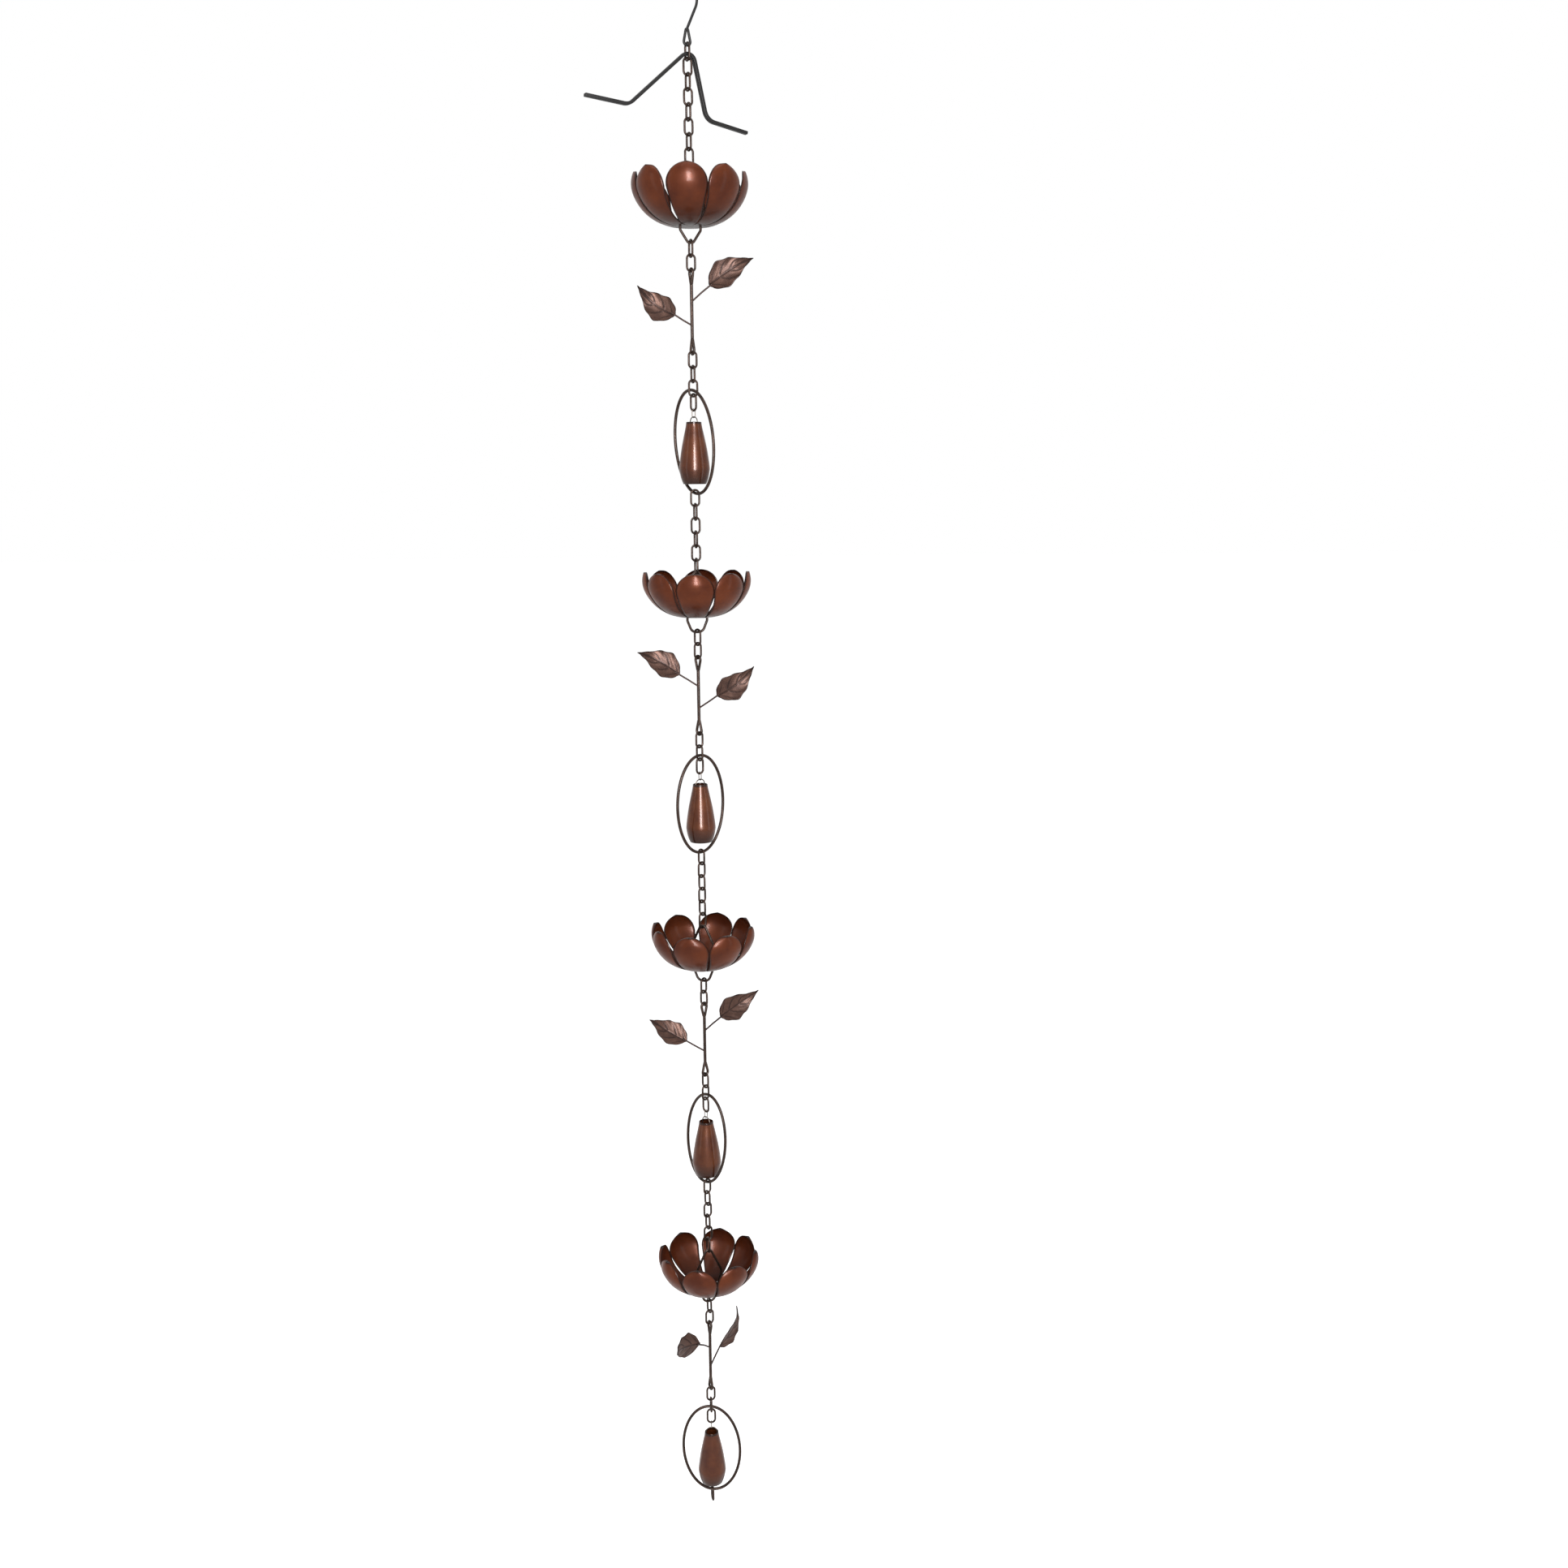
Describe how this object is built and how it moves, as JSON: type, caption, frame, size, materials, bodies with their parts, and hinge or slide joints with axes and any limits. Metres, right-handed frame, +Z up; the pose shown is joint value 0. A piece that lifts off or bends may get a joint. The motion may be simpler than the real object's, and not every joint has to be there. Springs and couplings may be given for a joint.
{
  "type": "rain chain",
  "caption": "Hanging rain chain of copper-coloured flower cups on wire bails, leafed wire stems and oval hoops with a drop inside, strung on link chain from a hook.",
  "frame": {"origin": "inside top of the hook's bow, the point that hangs on a nail, hook or gutter bracket", "axes": "+Z up along the hanging chain, +X to the right and +Y away when seen from the front"},
  "size_m": [0.1789, 0.1289, 1.8664],
  "materials": {
    "copper": "antique copper, satin",
    "dark_copper": "dark bronzed wire, satin",
    "black_wire": "black, satin"
  },
  "bodies": {
    "hook": {"hook": "black_wire"},
    "hanging_link": {"hanging_link": "dark_copper"},
    "top_chain": {"top_chain": "dark_copper", "gutter_hanger": "black_wire"},
    "cup_1": {"cup_1": "copper", "cup_bail_1": "dark_copper"},
    "link_a_1": {"link_a_1": "dark_copper"},
    "link_b_1": {"link_b_1": "dark_copper"},
    "stem_1": {"stem_1": "dark_copper", "leaf_right_1": "copper", "leaf_left_1": "copper"},
    "lower_links_1": {"lower_links_1": "dark_copper"},
    "hoop_1": {"hoop_1": "dark_copper"},
    "drop_link_1": {"drop_link_1": "dark_copper"},
    "drop_1": {"drop_1": "copper", "drop_arch_1": "dark_copper", "drop_tie_1": "dark_copper"},
    "link_run_1": {"link_run_1": "dark_copper"},
    "cup_2": {"cup_2": "copper", "cup_bail_2": "dark_copper"},
    "link_a_2": {"link_a_2": "dark_copper"},
    "link_b_2": {"link_b_2": "dark_copper"},
    "stem_2": {"stem_2": "dark_copper", "leaf_right_2": "copper", "leaf_left_2": "copper"},
    "lower_links_2": {"lower_links_2": "dark_copper"},
    "hoop_2": {"hoop_2": "dark_copper"},
    "drop_link_2": {"drop_link_2": "dark_copper"},
    "drop_2": {"drop_2": "copper", "drop_arch_2": "dark_copper", "drop_tie_2": "dark_copper"},
    "link_run_2": {"link_run_2": "dark_copper"},
    "cup_3": {"cup_3": "copper", "cup_bail_3": "dark_copper"},
    "link_a_3": {"link_a_3": "dark_copper"},
    "link_b_3": {"link_b_3": "dark_copper"},
    "stem_3": {"stem_3": "dark_copper", "leaf_right_3": "copper", "leaf_left_3": "copper"},
    "lower_links_3": {"lower_links_3": "dark_copper"},
    "hoop_3": {"hoop_3": "dark_copper"},
    "drop_link_3": {"drop_link_3": "dark_copper"},
    "drop_3": {"drop_3": "copper", "drop_arch_3": "dark_copper", "drop_tie_3": "dark_copper"},
    "link_run_3": {"link_run_3": "dark_copper"},
    "cup_4": {"cup_4": "copper", "cup_bail_4": "dark_copper"},
    "link_a_4": {"link_a_4": "dark_copper"},
    "link_b_4": {"link_b_4": "dark_copper"},
    "stem_4": {"stem_4": "dark_copper", "leaf_right_4": "copper", "leaf_left_4": "copper"},
    "lower_links_4": {"lower_links_4": "dark_copper"},
    "hoop_4": {"hoop_4": "dark_copper"},
    "drop_link_4": {"drop_link_4": "dark_copper"},
    "drop_4": {"drop_4": "copper", "drop_arch_4": "dark_copper", "drop_tie_4": "dark_copper"},
    "end_link": {"end_link": "dark_copper"}
  },
  "joints": [
    {"name": "hanging_link_swing", "type": "hinge", "parent": "hook", "child": "hanging_link", "pos_m": [0, 0, -0.091], "axis": [0.866, 0.5, 0], "range_deg": [-60, 60]},
    {"name": "top_chain_swing", "type": "hinge", "parent": "hanging_link", "child": "top_chain", "pos_m": [0, 0, -0.10645], "axis": [0.5, -0.866, 0], "range_deg": [-60, 60]},
    {"name": "cup_1_swing", "type": "hinge", "parent": "top_chain", "child": "cup_1", "pos_m": [0, 0, -0.23205], "axis": [-0.5, 0.866, 0], "range_deg": [-60, 60]},
    {"name": "link_a_1_swing", "type": "hinge", "parent": "cup_1", "child": "link_a_1", "pos_m": [0, 0, -0.299], "axis": [-0.9397, -0.342, 0], "range_deg": [-35, 35]},
    {"name": "link_b_1_swing", "type": "hinge", "parent": "link_a_1", "child": "link_b_1", "pos_m": [0, 0, -0.31445], "axis": [0.4226, -0.9063, 0], "range_deg": [-35, 35]},
    {"name": "stem_1_swing", "type": "hinge", "parent": "link_b_1", "child": "stem_1", "pos_m": [0, 0, -0.33015], "axis": [0.9063, 0.4226, 0], "range_deg": [-35, 35]},
    {"name": "lower_links_1_swing", "type": "hinge", "parent": "stem_1", "child": "lower_links_1", "pos_m": [0, 0, -0.4208], "axis": [-0.5, 0.866, 0], "range_deg": [-60, 60]},
    {"name": "hoop_1_swing", "type": "hinge", "parent": "lower_links_1", "child": "hoop_1", "pos_m": [0, 0, -0.46065], "axis": [0.6234, -0.743, -0.2435], "range_deg": [-60, 60]},
    {"name": "drop_link_1_swing", "type": "hinge", "parent": "lower_links_1", "child": "drop_link_1", "pos_m": [0, 0, -0.46475], "axis": [0.6428, -0.766, 0], "range_deg": [-60, 60]},
    {"name": "drop_1_swing", "type": "hinge", "parent": "drop_link_1", "child": "drop_1", "pos_m": [0, 0, -0.48325], "axis": [-0.6428, 0.766, 0], "range_deg": [-45, 45]},
    {"name": "link_run_1_swing", "type": "hinge", "parent": "hoop_1", "child": "link_run_1", "pos_m": [0, 0, -0.57609], "axis": [-0.6234, 0.743, 0.2435], "range_deg": [-60, 60]},
    {"name": "cup_2_swing", "type": "hinge", "parent": "link_run_1", "child": "cup_2", "pos_m": [0, 0, -0.66963], "axis": [-0.342, 0.9397, 0], "range_deg": [-60, 60]},
    {"name": "link_a_2_swing", "type": "hinge", "parent": "cup_2", "child": "link_a_2", "pos_m": [0, 0, -0.73658], "axis": [-0.9397, -0.342, 0], "range_deg": [-35, 35]},
    {"name": "link_b_2_swing", "type": "hinge", "parent": "link_a_2", "child": "link_b_2", "pos_m": [0, 0, -0.75203], "axis": [-0.7071, 0.7071, 0], "range_deg": [-35, 35]},
    {"name": "stem_2_swing", "type": "hinge", "parent": "link_b_2", "child": "stem_2", "pos_m": [0, 0, -0.76773], "axis": [0.7071, 0.7071, 0], "range_deg": [-35, 35]},
    {"name": "lower_links_2_swing", "type": "hinge", "parent": "stem_2", "child": "lower_links_2", "pos_m": [0, 0, -0.85838], "axis": [0.7071, -0.7071, 0], "range_deg": [-60, 60]},
    {"name": "hoop_2_swing", "type": "hinge", "parent": "lower_links_2", "child": "hoop_2", "pos_m": [0, 0, -0.88318], "axis": [-0.7193, -0.6947, 0], "range_deg": [-60, 60]},
    {"name": "drop_link_2_swing", "type": "hinge", "parent": "lower_links_2", "child": "drop_link_2", "pos_m": [0, 0, -0.88663], "axis": [-0.7193, -0.6947, 0], "range_deg": [-60, 60]},
    {"name": "drop_2_swing", "type": "hinge", "parent": "drop_link_2", "child": "drop_2", "pos_m": [0, 0, -0.90513], "axis": [0.7193, 0.6947, 0], "range_deg": [-45, 45]},
    {"name": "link_run_2_swing", "type": "hinge", "parent": "hoop_2", "child": "link_run_2", "pos_m": [0, 0, -1.00098], "axis": [0.7193, 0.6947, 0], "range_deg": [-60, 60]},
    {"name": "cup_3_swing", "type": "hinge", "parent": "link_run_2", "child": "cup_3", "pos_m": [0, 0, -1.09483], "axis": [-0.7071, -0.7071, 0], "range_deg": [-60, 60]},
    {"name": "link_a_3_swing", "type": "hinge", "parent": "cup_3", "child": "link_a_3", "pos_m": [0, 0, -1.16178], "axis": [-0.9397, 0.342, 0], "range_deg": [-35, 35]},
    {"name": "link_b_3_swing", "type": "hinge", "parent": "link_a_3", "child": "link_b_3", "pos_m": [0, 0, -1.17723], "axis": [0.5736, 0.8192, 0], "range_deg": [-35, 35]},
    {"name": "stem_3_swing", "type": "hinge", "parent": "link_b_3", "child": "stem_3", "pos_m": [0, 0, -1.19293], "axis": [0.766, -0.6428, 0], "range_deg": [-35, 35]},
    {"name": "lower_links_3_swing", "type": "hinge", "parent": "stem_3", "child": "lower_links_3", "pos_m": [0, 0, -1.28358], "axis": [-0.7071, -0.7071, 0], "range_deg": [-60, 60]},
    {"name": "hoop_3_swing", "type": "hinge", "parent": "lower_links_3", "child": "hoop_3", "pos_m": [0, 0, -1.30773], "axis": [-0.649, 0.7208, -0.2435], "range_deg": [-60, 60]},
    {"name": "drop_link_3_swing", "type": "hinge", "parent": "lower_links_3", "child": "drop_link_3", "pos_m": [0, 0, -1.31183], "axis": [-0.6691, 0.7431, 0], "range_deg": [-60, 60]},
    {"name": "drop_3_swing", "type": "hinge", "parent": "drop_link_3", "child": "drop_3", "pos_m": [0, 0, -1.33033], "axis": [0.6691, -0.7431, 0], "range_deg": [-45, 45]},
    {"name": "link_run_3_swing", "type": "hinge", "parent": "hoop_3", "child": "link_run_3", "pos_m": [0, 0, -1.42317], "axis": [0.649, -0.7208, 0.2435], "range_deg": [-60, 60]},
    {"name": "cup_4_swing", "type": "hinge", "parent": "link_run_3", "child": "cup_4", "pos_m": [0, 0, -1.5167], "axis": [0.3746, -0.9272, 0], "range_deg": [-60, 60]},
    {"name": "link_a_4_swing", "type": "hinge", "parent": "cup_4", "child": "link_a_4", "pos_m": [0, 0, -1.58365], "axis": [0.9397, 0.342, 0], "range_deg": [-35, 35]},
    {"name": "link_b_4_swing", "type": "hinge", "parent": "link_a_4", "child": "link_b_4", "pos_m": [0, 0, -1.5991], "axis": [0.5, -0.866, 0], "range_deg": [-35, 35]},
    {"name": "stem_4_swing", "type": "hinge", "parent": "link_b_4", "child": "stem_4", "pos_m": [0, 0, -1.6148], "axis": [-0.866, -0.5, 0], "range_deg": [-35, 35]},
    {"name": "lower_links_4_swing", "type": "hinge", "parent": "stem_4", "child": "lower_links_4", "pos_m": [0, 0, -1.70545], "axis": [-0.5, 0.866, 0], "range_deg": [-60, 60]},
    {"name": "hoop_4_swing", "type": "hinge", "parent": "lower_links_4", "child": "hoop_4", "pos_m": [0, 0, -1.72981], "axis": [0.9817, 0.0859, -0.1702], "range_deg": [-60, 60]},
    {"name": "drop_link_4_swing", "type": "hinge", "parent": "lower_links_4", "child": "drop_link_4", "pos_m": [0, 0, -1.7337], "axis": [0.9962, 0.0872, 0], "range_deg": [-60, 60]},
    {"name": "drop_4_swing", "type": "hinge", "parent": "drop_link_4", "child": "drop_4", "pos_m": [0, 0, -1.7522], "axis": [-0.9962, -0.0872, 0], "range_deg": [-45, 45]},
    {"name": "end_link_swing", "type": "hinge", "parent": "hoop_4", "child": "end_link", "pos_m": [0, 0, -1.84654], "axis": [-0.9817, -0.0859, 0.1702], "range_deg": [-60, 60]}
  ]
}
